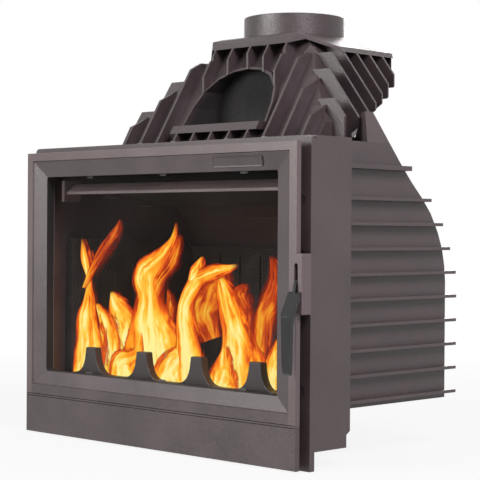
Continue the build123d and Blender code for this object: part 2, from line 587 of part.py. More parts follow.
gasket = block(-pane_x + 0.5, pane_x - 0.5, SEAT_Y, SEAT_Y + 2, GLASS_LOW - PANE_LIP + 0.5, GLASS_HIGH + PANE_LIP - 0.5)
gasket -= block(-GLASS_X - 0.5, GLASS_X + 0.5, SEAT_Y - 1, SEAT_Y + 3, GLASS_LOW - 0.5, GLASS_HIGH + 0.5)
keep("glass_gasket", gasket)
pane_y = SEAT_Y + 2
keep("door_glass", block(-pane_x + 1, pane_x - 1, pane_y, pane_y + GLASS_T, GLASS_LOW - PANE_LIP + 1,
                         GLASS_HIGH + PANE_LIP - 1))
clips = Part()
clip_screws = Part()
for x, z in CLIPS:
    sz = -1 if z < PIVOT_Z else 1
    lo, hi = sorted((z + sz * 3.5, z - sz * 13))
    clips += block(x - 8, x + 8, LEAF_BACK, LEAF_BACK + 2, lo, hi) - rod_y(x, LEAF_BACK - 1, LEAF_BACK + 3, z, 2.4)
    clip_screws += rod_y(x, LEAF_BACK - 10, LEAF_BACK + 2, z, 2.0)
    clip_screws += rod_y(x, LEAF_BACK + 2, LEAF_BACK + 3.8, z, 3.4)
keep("glass_clips", clips)
keep("clip_screws", clip_screws)

# Rope seal between the leaf and the flange, round the fire opening
ROPE = 6.0
rope_x = APERTURE_X + 0.5
rope_low = APERTURE_LOW - 0.5
rope_high = APERTURE_HIGH + 0.5
rope = block(-rope_x - 9, rope_x + 9, DOOR_T, FRAME_Y - 0.4, rope_low - 11, rope_high + 11)
rope -= block(-rope_x, rope_x, DOOR_T - 1, FRAME_Y + 1, rope_low, rope_high)
rope = fillet(rope.edges().filter_by(Axis.Y), 4.0)
keep("door_rope", rope)

# Latch lever, its pin, and the grip that hangs from it
lever_rel = [(-29.1, -37.3), (-17.35, -15.8), (-12, 6), (-10, 10), (-4, 12), (4, 11), (9, 5), (12, -2),
             (21.6, -2), (21.6, 2.4), (25.4, 2.4), (25.4, -9), (8, -9), (-2, -10), (-11.15, -19.2), (-22.9, -40.7)]
lever = side_plate([(PIVOT_Y + y, PIVOT_Z + z) for y, z in lever_rel], LATCH_X - 3, LATCH_X + 3)
lever -= rod_x(LATCH_X - 9, LATCH_X + 9, PIVOT_Y, PIVOT_Z, 3.1)
grip_rel = [(-12.5, -9), (-16, -11), (-35, -46), (-35.5, -50), (-34, -128), (-32, -138), (-29, -141.5),
            (-26.5, -140), (-25.5, -124), (-26.5, -62), (-25, -50), (-12.5, -24)]
grip = side_plate([(PIVOT_Y + y, PIVOT_Z + z) for y, z in grip_rel], LATCH_X - 12.5, LATCH_X + 12.5)
for sx in (-1, 1):
    grip = cut_by(grip, (LATCH_X + sx * 10.75, 0, PIVOT_Z - 47), (sx * 0.9994, 0, -0.0342))
    grip = cut_by(grip, (LATCH_X + sx * 9.2, PIVOT_Y - 35.5, PIVOT_Z - 50), (sx * 0.7, -0.714, -0.024))
pocket = [(-29.5, -38), (-17.8, -15.6), (-16.4, -10), (-15, 0), (-5, 0), (-5, -20), (-23, -42)]
grip -= side_plate([(PIVOT_Y + y, PIVOT_Z + z) for y, z in pocket], LATCH_X - 3.3, LATCH_X + 3.3)
GRIP_PIN = (PIVOT_Y - 20.0, PIVOT_Z - 28.0)
grip -= rod_x(LATCH_X - 20, LATCH_X + 20, GRIP_PIN[0], GRIP_PIN[1], 2.2)
lever -= rod_x(LATCH_X - 20, LATCH_X + 20, GRIP_PIN[0], GRIP_PIN[1], 2.2)
keep("latch_lever", lever)
keep("handle_grip", grip)
keep("grip_screw", rod_x(LATCH_X - 10.5, LATCH_X + 10.5, GRIP_PIN[0], GRIP_PIN[1], 2.0))
keep("lever_pin", rod_x(LATCH_X - 12, BOSS_X - 1, PIVOT_Y, PIVOT_Z, 3.0))

for name, shape in PARTS.items():
    export_step(shape, os.path.join("parts", name + ".step"))
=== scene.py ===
import math

import bmesh
import bpy
from bpy.props import FloatProperty, FloatVectorProperty, PointerProperty
from mathutils import Matrix, Vector


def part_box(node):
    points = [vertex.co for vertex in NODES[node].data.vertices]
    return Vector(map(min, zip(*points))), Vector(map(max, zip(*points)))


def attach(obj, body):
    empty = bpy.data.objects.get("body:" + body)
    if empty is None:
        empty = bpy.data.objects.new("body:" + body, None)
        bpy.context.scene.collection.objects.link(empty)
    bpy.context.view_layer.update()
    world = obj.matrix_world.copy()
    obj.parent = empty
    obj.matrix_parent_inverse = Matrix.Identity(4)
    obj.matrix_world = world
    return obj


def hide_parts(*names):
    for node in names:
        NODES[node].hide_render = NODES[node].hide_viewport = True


bl_info = {
    "name": "Fireplace insert looks",
    "version": (1, 0, 0),
    "blender": (4, 5, 0),
    "location": "View3D > Sidebar > Insert",
    "description": "Finishes a cast-iron fireplace insert and lights it for a product view",
    "category": "Object",
}

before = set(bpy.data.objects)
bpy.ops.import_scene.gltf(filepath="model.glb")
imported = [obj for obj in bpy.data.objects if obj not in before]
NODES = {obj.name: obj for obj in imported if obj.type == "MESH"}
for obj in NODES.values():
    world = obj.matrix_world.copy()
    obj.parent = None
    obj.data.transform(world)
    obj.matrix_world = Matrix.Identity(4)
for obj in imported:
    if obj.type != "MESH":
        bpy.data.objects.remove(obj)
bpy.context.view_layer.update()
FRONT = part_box("door_frame")[0].y


class Value:
    """A socket that can be used in arithmetic; each operation adds the node it needs."""

    def __init__(self, net, socket):
        self.net = net
        self.socket = socket

    def _math(self, operation, other=None, swap=False):
        first, second = (other, self) if swap else (self, other)
        values = {0: first}
        if other is not None:
            values[1] = second
        return self.net.node("ShaderNodeMath", {"operation": operation}, values)

    def __add__(self, other):
        return self._math("ADD", other)

    def __radd__(self, other):
        return self._math("ADD", other, True)

    def __sub__(self, other):
        return self._math("SUBTRACT", other)

    def __rsub__(self, other):
        return self._math("SUBTRACT", other, True)

    def __mul__(self, other):
        return self._math("MULTIPLY", other)

    def __rmul__(self, other):
        return self._math("MULTIPLY", other, True)

    def __truediv__(self, other):
        return self._math("DIVIDE", other)

    def __rtruediv__(self, other):
        return self._math("DIVIDE", other, True)

    def __pow__(self, other):
        return self._math("POWER", other)

    def __abs__(self):
        return self._math("ABSOLUTE")

    def clamp(self):
        """The value held between 0 and 1."""
        return self.net.node("ShaderNodeClamp", {}, {"Value": self})

    def above(self, low, high):
        """0 under low, 1 over high, and a smooth step between."""
        return self.net.node(
            "ShaderNodeMapRange",
            {"interpolation_type": "SMOOTHSTEP"},
            {"Value": self, "From Min": low, "From Max": high},
        )

    def past(self, place, blur):
        """0 before a place and 1 after it, with a smooth step over the blur on each side."""
        return self.above(place - blur, place + blur)

    def sine(self):
        return self._math("SINE")


class Net:
    """The node tree of a material, or of the world."""

    def __init__(self, name, kind="materials"):
        self.owner = getattr(bpy.data, kind).new(name)
        self.owner.use_nodes = True
        self.tree = self.owner.node_tree
        self.tree.nodes.clear()

    def raw(self, kind, settings=None, values=None):
        """A node of that kind, its settings first and then its sockets' values or links."""
        made = self.tree.nodes.new(kind)
        for key, setting in (settings or {}).items():
            if key == "stops":
                ramp = made.color_ramp
                while len(ramp.elements) < len(setting):
                    ramp.elements.new(0.5)
                for element, (place, colour) in zip(ramp.elements, setting):
                    element.position = place
                    element.color = (*colour, 1.0)
            else:
                setattr(made, key, setting)
        for key, value in (values or {}).items():
            socket = made.inputs[key]
            if isinstance(value, Value):
                self.tree.links.new(value.socket, socket)
            else:
                if hasattr(value, "__len__") and len(value) == 3 and socket.type == "RGBA":
                    value = (*value, 1.0)
                socket.default_value = value
        return made

    def node(self, kind, settings=None, values=None, output=0):
        """One output of such a node."""
        return Value(self, self.raw(kind, settings, values).outputs[output])

    def point(self):
        """Position on the object in metres."""
        return self.node("ShaderNodeTexCoord", output="Object")

    def parts(self, vector):
        """The three numbers that a vector holds."""
        made = self.raw("ShaderNodeSeparateXYZ", {}, {0: vector})
        return [Value(self, socket) for socket in made.outputs]

    def vector(self, x, y, z):
        return self.node("ShaderNodeCombineXYZ", {}, {0: x, 1: y, 2: z})

    def noise(self, vector, scale, detail=3.0, roughness=0.5):
        return self.node(
            "ShaderNodeTexNoise",
            {},
            {"Vector": vector, "Scale": scale, "Detail": detail, "Roughness": roughness},
        )

    def mix(self, factor, first, second):
        """Colours mixed by factor."""
        return self.node("ShaderNodeMix", {"data_type": "RGBA"}, {0: factor, 6: first, 7: second}, 2)

    def bump(self, height, strength, distance):
        values = {"Height": height, "Strength": strength, "Distance": distance}
        return self.node("ShaderNodeBump", {}, values)

    def surface(self, **values):
        """A Principled shader as the material's surface."""
        named = {}
        for key, value in values.items():
            named[key.replace("_", " ").title().replace("Ior", "IOR")] = value
        return self.close(self.node("ShaderNodeBsdfPrincipled", {}, named))

    def close(self, shader, kind="ShaderNodeOutputMaterial"):
        """Ends the tree with that shader and gives back the material or the world."""
        self.raw(kind, {}, {"Surface": shader})
        return self.owner


def casting_paint(look, name="casting", shade=1.0, grain=1.0, shade_mask_at=None, highlight_mask_at=None):
    """Heat-proof paint on sand-cast iron: pebbled grain, cloudy patches, and painted shade and a painted
    highlight where asked.
    """
    net = Net(name)
    place = net.point()
    pebble = net.noise(place, 620.0, 2.0, 0.55)
    pit = net.noise(place, 210.0, 3.0, 0.6)
    cloud = net.noise(place, 9.0, 3.0, 0.55)
    base = Vector(look.paint) * shade
    tone = (cloud * 0.55 + pit * 0.3 + pebble * 0.15).above(0.36, 0.64)
    colour = net.mix(tone, base * 0.84, base * 1.18)
    gloss = 0.31 + 0.15 * tone
    if highlight_mask_at:
        # Painted highlight: the paint is made much lighter where the highlight function gives 1.
        painted_highlight = highlight_mask_at(net, place) * (0.6 + 0.4 * cloud)
        colour = net.mix(painted_highlight, colour, base * 1.9)
        gloss = gloss - 0.04 * painted_highlight
    # Painted shade: the paint is darkened nearly to black where the shade function gives 1.
    if shade_mask_at:
        painted_shade = shade_mask_at(net, place) * (0.92 + 0.08 * cloud)
        colour = net.mix(painted_shade, colour, Vector(look.soot) * 0.15)
        gloss = gloss + 0.5 * painted_shade
    height = pebble * 0.5 + pit * 0.8
    return net.surface(
        base_color=colour,
        roughness=gloss,
        metallic=0.0,
        normal=net.bump(height, 0.45 * grain, 0.0009),
    )


def rim_highlight_mask(net, place):
    """1 on the door's raised outer rim, where a highlight is painted, and 0 on the apron."""
    x, _, z = net.parts(place)
    half_width, top, foot, blur = 0.3335, 0.5190, 0.0740, 0.0010
    wide = abs(x).past(half_width, blur)
    return (1.0 - (1.0 - wide) * (1.0 - z.past(top, blur))) * z.past(foot, blur)


def reveal_shade_mask(net, place):
    """1 on the edges of the door's glass opening, where shade is painted, and 0 elsewhere."""
    x, _, z = net.parts(place)
    half_width, top, foot, blur = 0.3005, 0.4885, 0.1195, 0.0003
    inside = (1.0 - abs(x).past(half_width, blur)) * (1.0 - z.past(top, blur))
    return inside * z.past(foot, blur)


def mouth_shade_mask(net, place):
    """1 inside the hood's arched pocket, behind the plane that its front wall lies in, where shade is
    painted.
    """
    x, y, z = net.parts(place)
    half_width, foot, rise = 0.108, 0.583, 0.110
    front_y, front_z = -0.0765, 0.552
    lean_sine, lean_cosine = 0.853, 0.5225
    wide = x / half_width
    high = (z - foot) / rise
    arch = wide * wide + high * high
    behind = (y - front_y) * lean_sine - (z - front_z) * lean_cosine
    short_of_rear = 1.0 - y.above(0.0555, 0.0590)
    inside = behind.above(0.016, 0.034) * short_of_rear
    return (1.0 - arch.above(1.06, 1.12)) * inside * z.above(0.574, 0.582)


def soot_iron(look):
    """Bare iron inside the fire: blackened by smoke, with burnt grey-brown patches."""
    net = Net("soot")
    place = net.point()
    patch = net.noise(place, 14.0, 4.0, 0.6).above(0.45, 0.68)
    grain = net.noise(place, 420.0, 2.0, 0.5)
    colour = net.mix(patch, Vector(look.soot) * 0.7, (0.026, 0.021, 0.018))
    return net.surface(
        base_color=colour,
        roughness=0.84 + 0.12 * grain,
        normal=net.bump(grain, 0.15, 0.0008),
    )


def dark_steel():
    """Oiled mild steel with faint drawn lines."""
    net = Net("dark_steel")
    x, y, z = net.parts(net.point())
    lines = net.noise(net.vector(x * 60.0, y * 60.0, z * 900.0), 1.0, 2.0, 0.5)
    colour = net.mix(lines, (0.10, 0.098, 0.098), (0.17, 0.165, 0.162))
    return net.surface(
        base_color=colour,
        metallic=0.85,
        roughness=0.34 + 0.14 * lines,
        normal=net.bump(lines, 0.15, 0.0003),
    )


def black_enamel():
    """Gloss black enamel on the grip and its lever, a trace of flow in it."""
    net = Net("black_enamel")
    flow = net.noise(net.point(), 60.0, 2.0, 0.4)
    colour = net.mix(flow, (0.003, 0.003, 0.0035), (0.007, 0.0065, 0.007))
    return net.surface(
        base_color=colour,
        roughness=0.08 + 0.08 * flow,
        normal=net.bump(flow, 0.15, 0.0010),
    )


def hot_glass():
    """Clear ceramic glass, faintly tinted, with a very light haze."""
    net = Net("hot_glass")
    haze = net.noise(net.point(), 5.0, 3.0, 0.5).above(0.4, 0.75)
    return net.surface(
        base_color=(0.035, 0.032, 0.030),
        roughness=0.03 + 0.03 * haze,
        alpha=0.05 + 0.04 * haze,
        ior=1.5,
    )


def glass_rope():
    """Braided glass-fibre rope: slanted strands both ways."""
    net = Net("glass_rope")
    x, y, z = net.parts(net.point())
    run = x + z
    one = (run * 1400.0 + y * 1100.0).sine()
    two = (run * 1400.0 - y * 1100.0).sine()
    weave = (one * two) * 0.5 + 0.5
    fuzz = net.noise(net.point(), 1500.0, 2.0, 0.6)
    colour = net.mix(weave, (0.045, 0.043, 0.041), (0.13, 0.125, 0.12))
    return net.surface(
        base_color=colour,
        roughness=0.9 + 0.05 * fuzz,
        normal=net.bump(weave + fuzz * 0.4, 0.7, 0.0008),
    )


def paint_node(name, material):
    """Puts a material on every slot of a CAD node."""
    node = NODES[name]
    mesh = node.data
    if not mesh.materials:
        mesh.materials.append(material)
    for index in range(len(mesh.materials)):
        mesh.materials[index] = material
    for slot in node.material_slots:
        slot.material = material


def round_edges(piece, width, angle=35.0, segments=2):
    """Rounds a piece's edges a little, as the mould leaves them."""
    bevel = piece.modifiers.new("mould_edge", "BEVEL")
    bevel.width = width
    bevel.segments = segments
    bevel.limit_method = "ANGLE"
    bevel.angle_limit = math.radians(angle)


def face_outward(mesh):
    """Turns a closed mesh's faces outward."""
    sides = bmesh.new()
    sides.from_mesh(mesh)
    bmesh.ops.recalc_face_normals(sides, faces=sides.faces)
    sides.to_mesh(mesh)
    sides.free()


def new_object(name, verts, faces, material=None):
    mesh = bpy.data.meshes.new(name)
    mesh.from_pydata(verts, [], faces)
    mesh.update()
    made = bpy.data.objects.new(name, mesh)
    bpy.context.scene.collection.objects.link(made)
    if material:
        mesh.materials.append(material)
    return made


class InsertLook(bpy.types.PropertyGroup):
    """Colours and sizes of the insert's finish."""

    paint: FloatVectorProperty(
        name="Paint",
        description="Colour of the heat-proof paint",
        default=(0.047, 0.034, 0.0345),
        subtype="COLOR",
        min=0.0,
        max=1.0,
    )
    # This colour, darkened nearly to black, is also the painted shade in the door's glass opening and the
    # hood's mouth.
    soot: FloatVectorProperty(
        name="Soot",
        description="Colour of the iron inside the fire",
        default=(0.012, 0.010, 0.010),
        subtype="COLOR",
        min=0.0,
        max=1.0,
    )
    plate_width: FloatProperty(
        name="Plate width",
        description="Width of the bare plate on the door's top rail",
        default=0.116,
        unit="LENGTH",
    )
    plate_height: FloatProperty(
        name="Plate height",
        description="Height of the bare plate on the door's top rail",
        default=0.0185,
        unit="LENGTH",
    )


class StageLook(bpy.types.PropertyGroup):
    """The studio, and the fire that burns in it."""

    floor: FloatProperty(
        name="Floor size",
        description="Half width of the floor",
        default=30.0,
        unit="LENGTH",
    )
    world: FloatProperty(
        name="Ambient",
        description="Strength of the white surroundings",
        default=0.34,
        min=0.0,
    )
    key: FloatProperty(
        name="Key",
        description="Power of the front lamp, left of the camera",
        default=108.0,
        min=0.0,
    )
    side: FloatProperty(
        name="Side",
        description="Power of the lamp on the right",
        default=132.0,
        min=0.0,
    )
    back: FloatProperty(
        name="Back",
        description="Power of the lamp behind",
        default=70.0,
        min=0.0,
    )
    fire: FloatProperty(
        name="Fire",
        description="Strength of the flames' light",
        default=1.15,
        min=0.0,
    )


CASTINGS = ["front_frame", "upper_body", "base_plate", "ash_box", "hinge_lugs"]
PANELS = ["side_panel_left", "side_panel_right", "back_panel"]
FIRE_IRON = ["hearth_plate", "liner_back", "liner_left", "liner_right", "fire_grate", "baffle_plate"]
STEEL = ["frame_bolts", "frame_nuts", "hood_bolts", "hinge_pins", "lever_pin", "glass_clips",
         "clip_screws", "grip_screw", "latch_keeper", "bar_brackets", "ash_pan"]
ENAMELLED = ["handle_grip", "latch_lever"]
MOULD_EDGES = {
    "front_frame": 0.0012,
    "side_panel_left": 0.0009,
    "side_panel_right": 0.0009,
    "back_panel": 0.0009,
    "upper_body": 0.0015,
}


class INSERT_OT_castings(bpy.types.Operator):
    """Paints the frame, the body's castings, the hinge lugs and the collar"""

    bl_idname = "insert.castings"
    bl_label = "Paint the castings"

    def execute(self, context):
        look = context.scene.insert_look
        paint = casting_paint(look)
        for name in CASTINGS:
            paint_node(name, paint)
        # The collar's paint is darker than the body's: painted shade.
        paint_node("flue_collar", casting_paint(look, "collar_casting", 0.78, 1.3))
        panel = casting_paint(look, "panel_casting", 1.0, 1.15)
        for name in PANELS:
            paint_node(name, panel)
        for name, width in MOULD_EDGES.items():
            round_edges(NODES[name], width)
        return {"FINISHED"}


def roof_corner(side):
    """A prism over the roof, outside the slanted line that the real roof's front corner is cut along."""
    plan = [(0.066, 0.0055), (0.066, -0.0965), (0.300, -0.0965), (0.300, 0.2145), (0.275, 0.1925)]
    low, high = 0.7135, 0.800
    verts = [(side * x, y, z) for z in (low, high) for x, y in plan]
    count = len(plan)
    faces = [tuple(range(count)), tuple(range(2 * count - 1, count - 1, -1))]
    faces += [(i, i + count, (i + 1) % count + count, (i + 1) % count) for i in range(count)]
    made = new_object("roof_corner", verts, faces)
    face_outward(made.data)
    return made


class INSERT_OT_hood(bpy.types.Operator):
    """Casts the hood with its roof's front corners cut back, and paints shade into its mouth"""

    bl_idname = "insert.hood"
    bl_label = "Finish the hood"

    def execute(self, context):
        look = context.scene.insert_look
        hood = bpy.data.objects.new("hood_casting", NODES["hood"].data.copy())
        context.scene.collection.objects.link(hood)
        cutters = [roof_corner(side) for side in (-1, 1)]
        for cutter in cutters:
            cut = hood.modifiers.new("cut", "BOOLEAN")
            cut.operation = "DIFFERENCE"
            cut.solver = "EXACT"
            cut.object = cutter
        context.view_layer.update()
        shape = bpy.data.meshes.new_from_object(hood.evaluated_get(context.evaluated_depsgraph_get()))
        hood.modifiers.clear()
        hood.data = shape
        for cutter in cutters:
            bpy.data.objects.remove(cutter)
        # Painted shade: the hood's paint is darker than the body's, and nearly black in its mouth
        paint = casting_paint(look, "hood_casting", 0.80, 1.1, mouth_shade_mask)
        shape.materials.clear()
        shape.materials.append(paint)
        for face in shape.polygons:
            face.material_index = 0
        round_edges(hood, 0.0022)
        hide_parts("hood")
        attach(hood, "insert")
        return {"FINISHED"}


class INSERT_OT_door(bpy.types.Operator):
    """Finishes the door leaf, its glass and its seals"""

    bl_idname = "insert.door"
    bl_label = "Finish the door"

    def execute(self, context):
        look = context.scene.insert_look
        # Painted shade on the edges of the glass opening, and a painted highlight on the raised rim
        paint_node("door_frame", casting_paint(look, "door_casting", 1.0, 0.9, reveal_shade_mask, rim_highlight_mask))
        round_edges(NODES["door_frame"], 0.0010)
        paint_node("door_glass", hot_glass())
        rope = glass_rope()
        paint_node("door_rope", rope)
        paint_node("glass_gasket", rope)
        return {"FINISHED"}


class INSERT_OT_firebox(bpy.types.Operator):
    """Finishes the hearth, linings, grate, baffle and air-wash bar"""

    bl_idname = "insert.firebox"
    bl_label = "Finish the firebox"

    def execute(self, context):
        look = context.scene.insert_look
        soot = soot_iron(look)
        for name in FIRE_IRON:
            paint_node(name, soot)
        # The bar's paint is much lighter than the body's: painted light.
        paint_node("air_wash_bar", casting_paint(look, "bar_iron", 2.4, 1.0))
        return {"FINISHED"}


# The retainer's rail, the middles of its prongs, and half a prong's outline from its top down
RAIL_TOP = 0.1175
PRONG_MIDDLES = (-0.2145, -0.0715, 0.0715, 0.2145)
HALF_PRONG = [
    (0.0120, 0.1670),
    (0.0140, 0.1650),
    (0.0145, 0.1560),
    (0.0160, 0.1470),
    (0.0185, 0.1390),
    (0.0220, 0.1320),
    (0.0270, 0.1260),
    (0.0335, 0.1215),
    (0.0410, 0.1190),
    (0.0520, RAIL_TOP),
]


class INSERT_OT_retainer(bpy.types.Operator):
    """Builds the log retainer: a rail with four prongs that flare out like bells at the foot"""

    bl_idname = "insert.retainer"
    bl_label = "Build the log retainer"

    def execute(self, context):
        look = context.scene.insert_look
        low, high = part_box("log_retainer")
        line = [(low.x, RAIL_TOP)]
        for middle in PRONG_MIDDLES:
            line += [(middle - x, z) for x, z in reversed(HALF_PRONG)]
            line += [(middle + x, z) for x, z in HALF_PRONG]
        line.append((high.x, RAIL_TOP))
        verts = []
        for x, z in line:
            verts += [(x, low.y, low.z), (x, low.y, z), (x, high.y, z), (x, high.y, low.z)]
        faces = [(0, 1, 2, 3), tuple(len(verts) - i for i in (1, 2, 3, 4))]
        for i in range(0, len(verts) - 4, 4):
            faces += [(i + k, i + 4 + k, i + 4 + (k + 1) % 4, i + (k + 1) % 4) for k in range(4)]
        piece = new_object("prong_rail", verts, faces, casting_paint(look, "rail_iron", 0.42, 1.2))
        face_outward(piece.data)
        round_edges(piece, 0.0016, 50.0, 3)
        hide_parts("log_retainer")
        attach(piece, "insert")
        return {"FINISHED"}


class INSERT_OT_latch(bpy.types.Operator):
    """Finishes the latch, its grip, the fasteners and the ash pan"""

    bl_idname = "insert.latch"
    bl_label = "Finish the latch and fasteners"

    def execute(self, context):
        steel = dark_steel()
        for name in STEEL:
            paint_node(name, steel)
        enamel = black_enamel()
        for name in ENAMELLED:
            paint_node(name, enamel)
        round_edges(NODES["handle_grip"], 0.0032, 25.0, 4)
        return {"FINISHED"}


class INSERT_OT_plate(bpy.types.Operator):
    """Adds the bare raised plate on the door's top rail"""

    bl_idname = "insert.plate"
    bl_label = "Add the bare plate"

    def execute(self, context):
        look = context.scene.insert_look
        corner_radius = 0.004
        corner_steps = 5
        thickness = 0.0024
        edge_width = 0.0024
        edge_fall = 0.0012
        half_w = look.plate_width / 2 - corner_radius
        half_h = look.plate_height / 2 - corner_radius
        made = bmesh.new()
        ring = []
        for quarter, (sx, sz) in enumerate(((1, 1), (-1, 1), (-1, -1), (1, -1))):
            for step in range(corner_steps):
                angle = math.radians(90 * (quarter + step / (corner_steps - 1)))
                x = sx * half_w + corner_radius * math.cos(angle)
                z = sz * half_h + corner_radius * math.sin(angle)
                ring.append(made.verts.new((x, 0.0, z)))
        face = made.faces.new(ring)
        pushed = bmesh.ops.extrude_face_region(made, geom=[face])
        moved = [item for item in pushed["geom"] if isinstance(item, bmesh.types.BMVert)]
        bmesh.ops.translate(made, verts=moved, vec=(0, -thickness, 0))
        front = [item for item in pushed["geom"] if isinstance(item, bmesh.types.BMFace)]
        bmesh.ops.inset_region(made, faces=front, thickness=edge_width, depth=-edge_fall)
        bmesh.ops.recalc_face_normals(made, faces=made.faces)
        mesh = bpy.data.meshes.new("bare_plate")
        made.to_mesh(mesh)
        made.free()
        plate = bpy.data.objects.new("bare_plate", mesh)
        context.scene.collection.objects.link(plate)
        mesh.materials.append(casting_paint(look, "plate_casting", 1.0, 0.8))
        bevel_depth, bevel_height = 0.009, 0.031
        tilt = Matrix.Rotation(math.atan2(bevel_depth, bevel_height), 4, "X")
        spot = Matrix.Translation((0.2115, FRONT + 0.0052, 0.5040))
        mesh.transform(spot @ tilt)
        round_edges(plate, 0.0006, 30.0)
        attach(plate, "door")
        return {"FINISHED"}


def flame_gas(name, strength, cooler):
    """Burning gas: pale yellow heart, orange body, red frayed edges, streaks along the flame."""
    net = Net(name)
    uv = net.node("ShaderNodeUVMap", {"uv_map": "UVMap"})
    across, along, _ = net.parts(uv)
    x, y, z = net.parts(net.point())
    wisps = net.noise(net.vector(x, y * 3.0, z * 0.55), 26.0, 3.0, 0.55)
    drift = net.vector(across * 4.5 + wisps * 1.5, along * 1.4, x * 3.0 + y * 30.0)
    streaks = net.noise(drift, 2.2, 3.0, 0.6)
    off = abs(across - 0.5) * 2.0
    body = 1.0 - off ** 2.0 - along * 0.22 + (wisps - 0.5) * 1.1 + (streaks - 0.5) * 1.5
    heart = (body - along * 0.10 - cooler).above(0.0, 1.10)
    stops = [
        (0.0, (0.26, 0.012, 0.001)),
        (0.20, (0.64, 0.060, 0.005)),
        (0.40, (0.92, 0.20, 0.008)),
        (0.62, (1.0, 0.38, 0.015)),
        (0.84, (1.0, 0.62, 0.07)),
        (1.0, (1.0, 0.85, 0.30)),
    ]
    colour = net.node("ShaderNodeValToRGB", {"stops": stops}, {0: heart})
    shown = body.above(0.04, 0.34 + cooler) * (1.0 - along.above(0.88, 1.0)) * (1.0 - cooler * 0.5)
    return net.surface(
        base_color=(0.0, 0.0, 0.0),
        roughness=1.0,
        emission_color=colour,
        emission_strength=strength,
        alpha=shown,
        ior=1.0,
    )


def smooth_run(points, steps):
    """Points on a smooth line through the given ones, with what each carries blended along."""
    run = []
    last = len(points) - 1
    for i in range(last):
        near = [Vector(points[min(max(k, 0), last)]) for k in range(i - 1, i + 3)]
        before, start, end, after = near
        slope = end - before
        bend = 2 * before - 5 * start + 4 * end - after
        twist = 3 * start - before - 3 * end + after
        for step in range(steps):
            t = step / steps
            run.append(0.5 * (2 * start + slope * t + bend * t ** 2 + twist * t ** 3))
    run.append(Vector(points[last]))
    return run


# A ribbon's rows between two marks and its columns across
FLAME_STEPS = 8
FLAME_COLUMNS = 8
# How much wider a ribbon is than the gas that shows, which fades towards its edges
SPREAD = 1.3
FADED_EDGE = 0.002
# How much narrower a width is taken to look than a height, from the camera's side
SQUEEZE = 1.45
# How far a ribbon's edges bend back, and how far its tip leans back
CURL = 0.010
LEAN = 0.018
# How far to each side a flame may reach before it is spread, and how low its line may start
FIRE_HALF = 0.288
FIRE_FOOT = 0.104
# The crop of the photograph that the flames were read in: its corner in pixels, and its enlargement
CROP_LEFT = 45
CROP_TOP = 170
CROP_SCALE = 4


def behind_photo(across, down, depth):
    """The x and z, on the plane y = depth, of what shows at a place in the photograph."""
    place, side, top, back = camera_frame()
    middle = PHOTO_SIZE / 2
    ray = side * (across - middle) - top * (down - middle) - back * (PHOTO_SIZE * LENS / SENSOR)
    spot = place + ray * ((depth - place.y) / ray.y)
    return spot.x, spot.z


def flame_line(depth, marks):
    """A flame's line of (x, z, half width), to the millimetre, from marks of (across, down, width)."""
    line = []
    for across, down, width in marks:
        u = CROP_LEFT + across / CROP_SCALE
        v = CROP_TOP + down / CROP_SCALE
        reach = width / 2 / CROP_SCALE
        x, z = behind_photo(u, v, depth)
        left, _ = behind_photo(u - reach, v, depth)
        right, _ = behind_photo(u + reach, v, depth)
        half = (right - left) / 2
        x = max(half - FIRE_HALF, min(FIRE_HALF - half, x))
        line.append((round(x, 3), round(max(z, FIRE_FOOT), 3), round(half, 3)))
    return line


def flame(name, depth, points, material):
    """A curled ribbon of burning gas along a line of (x, z, half width)."""
    rows = smooth_run(points, FLAME_STEPS)
    verts = []
    for i, (x, z, half) in enumerate(rows):
        ahead = rows[min(i + 1, len(rows) - 1)]
        back = rows[max(i - 1, 0)]
        run = Vector(((ahead[0] - back[0]) / SQUEEZE, ahead[1] - back[1])).normalized()
        half = SPREAD * half + FADED_EDGE
        for j in range(FLAME_COLUMNS + 1):
            s = j / FLAME_COLUMNS * 2 - 1
            reach = half * s
            y = depth + CURL * s * s + LEAN * i / len(rows)
            verts.append((x + run.y * reach, y, z - run.x * reach / SQUEEZE))
    wide = FLAME_COLUMNS + 1
    faces = []
    for i in range(len(rows) - 1):
        for corner in range(i * wide, i * wide + FLAME_COLUMNS):
            faces.append((corner, corner + 1, corner + wide + 1, corner + wide))
    made = new_object(name, verts, faces, material)
    layer = made.data.uv_layers.new(name="UVMap")
    for loop in made.data.loops:
        row, column = divmod(loop.vertex_index, wide)
        layer.data[loop.index].uv = (column / FLAME_COLUMNS, row / (len(rows) - 1))
    made.visible_shadow = False
    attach(made, "insert")


